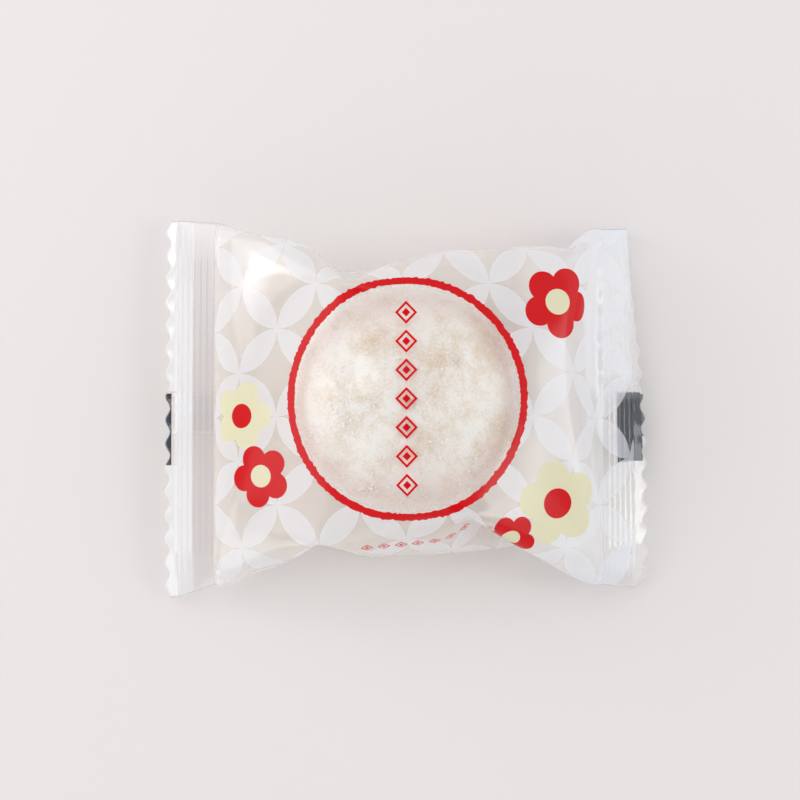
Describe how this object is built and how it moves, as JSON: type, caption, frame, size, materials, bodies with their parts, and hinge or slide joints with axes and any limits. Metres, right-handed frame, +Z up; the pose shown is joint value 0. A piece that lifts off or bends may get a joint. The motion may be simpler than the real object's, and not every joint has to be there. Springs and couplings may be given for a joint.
{
  "type": "wrapped mochi rice cake",
  "caption": "Round starch-dusted mochi rice cake sealed in a clear printed film pouch with crimped, zigzag-cut end seals.",
  "frame": {"origin": "on the surface the pouch lies on, under the middle of its outline", "axes": "+X along the pouch from seal to seal, +Y across it, +Z up"},
  "size_m": [0.099, 0.0774, 0.0267],
  "materials": {
    "film": "clear glossy film with white, red, cream and navy print",
    "cake": "soft rice dough dusted with starch"
  },
  "bodies": {
    "root": {"flow_wrap": "film"}
  },
  "joints": []
}
